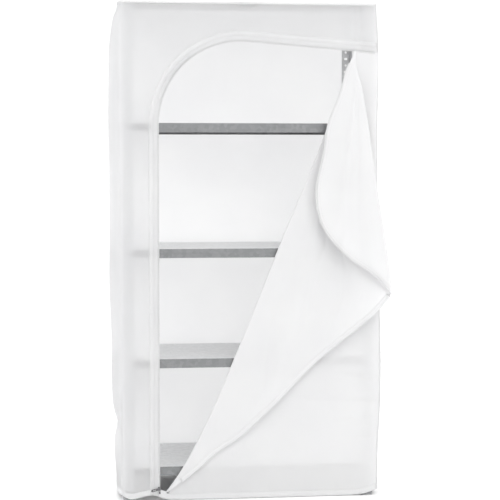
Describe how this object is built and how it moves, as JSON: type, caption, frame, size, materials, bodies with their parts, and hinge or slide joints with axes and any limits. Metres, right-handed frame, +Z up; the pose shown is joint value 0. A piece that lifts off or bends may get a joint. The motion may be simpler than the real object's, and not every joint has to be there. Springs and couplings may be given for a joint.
{
  "type": "covered storage rack",
  "caption": "Free-standing slotted-angle steel shelving rack under a white cloth cover with an arched zip door, folded back.",
  "frame": {"origin": "on the floor at the centre of the whole footprint, folded door included; the rack's own centre line is 22 mm to the left of it and 35 mm behind it", "axes": "+Z up, the door faces -Y, +X to the right of someone facing the door"},
  "size_m": [0.9641, 0.5401, 1.776],
  "materials": {
    "galvanised_steel": "dull galvanised sheet",
    "zinc_fastener": "zinc plated",
    "foot_plastic": "moulded, matt",
    "cover_cloth": "thin woven cotton, matt",
    "zip_tape": "woven tape",
    "zip_teeth": "moulded coil",
    "zip_metal": "dark nickel"
  },
  "bodies": {
    "rack_frame": {"post_front_left": "galvanised_steel", "post_front_right": "galvanised_steel", "post_back_left": "galvanised_steel", "post_back_right": "galvanised_steel", "foot_front_left": "foot_plastic", "foot_front_right": "foot_plastic", "foot_back_left": "foot_plastic", "foot_back_right": "foot_plastic", "shelf_1": "galvanised_steel", "shelf_rib_1": "galvanised_steel", "shelf_bolts_1": "zinc_fastener", "shelf_nuts_1": "zinc_fastener", "shelf_2": "galvanised_steel", "shelf_rib_2": "galvanised_steel", "shelf_bolts_2": "zinc_fastener", "shelf_nuts_2": "zinc_fastener", "shelf_3": "galvanised_steel", "shelf_rib_3": "galvanised_steel", "shelf_bolts_3": "zinc_fastener", "shelf_nuts_3": "zinc_fastener", "shelf_4": "galvanised_steel", "shelf_rib_4": "galvanised_steel", "shelf_bolts_4": "zinc_fastener", "shelf_nuts_4": "zinc_fastener", "shelf_5": "galvanised_steel", "shelf_rib_5": "galvanised_steel", "shelf_bolts_5": "zinc_fastener", "shelf_nuts_5": "zinc_fastener"},
    "cloth_cover": {"cover_roof": "cover_cloth", "cover_back": "cover_cloth", "cover_left_side": "cover_cloth", "cover_right_side": "cover_cloth", "cover_front": "cover_cloth", "door_fixed_panel": "cover_cloth", "roof_binding": "zip_tape", "hem_binding": "zip_tape", "zip_tape_cover": "zip_tape", "zip_teeth_cover": "zip_teeth", "zip_stop": "zip_metal"},
    "door_leaf": {"door_fold": "cover_cloth", "zip_tape_door": "zip_tape", "zip_teeth_door": "zip_teeth"},
    "door_tip": {"door_corner": "cover_cloth", "zip_tape_corner": "zip_tape", "zip_teeth_corner": "zip_teeth"},
    "slider": {"zip_slider": "zip_metal"},
    "tab": {"pull_tab": "zip_metal"}
  },
  "joints": [
    {"name": "cover_lift", "type": "slide", "parent": "rack_frame", "child": "cloth_cover", "axis": [0, 0, 1], "range_m": [0, 1.8]},
    {"name": "door_swing", "type": "hinge", "parent": "cloth_cover", "child": "door_leaf", "pos_m": [-0.318, -0.2002, 0.03], "axis": [-0.4007, 0, -0.9162], "range_deg": [0, 172]},
    {"name": "corner_unfold", "type": "hinge", "parent": "door_leaf", "child": "door_tip", "pos_m": [0.37154, -0.20377, 1.60792], "axis": [-0.1265, 0.072, 0.9893], "range_deg": [0, 180]},
    {"name": "slider_travel", "type": "slide", "parent": "cloth_cover", "child": "slider", "axis": [0, 0, 1], "range_m": [0, 1.285]},
    {"name": "tab_swing", "type": "hinge", "parent": "slider", "child": "tab", "pos_m": [-0.346, -0.2045, 0.043], "axis": [-0.2419, 0, 0.9703], "range_deg": [0, 170]}
  ],
  "couplings": [
    {"joint": "corner_unfold", "follows": "door_swing", "ratio": 1.0233}
  ]
}
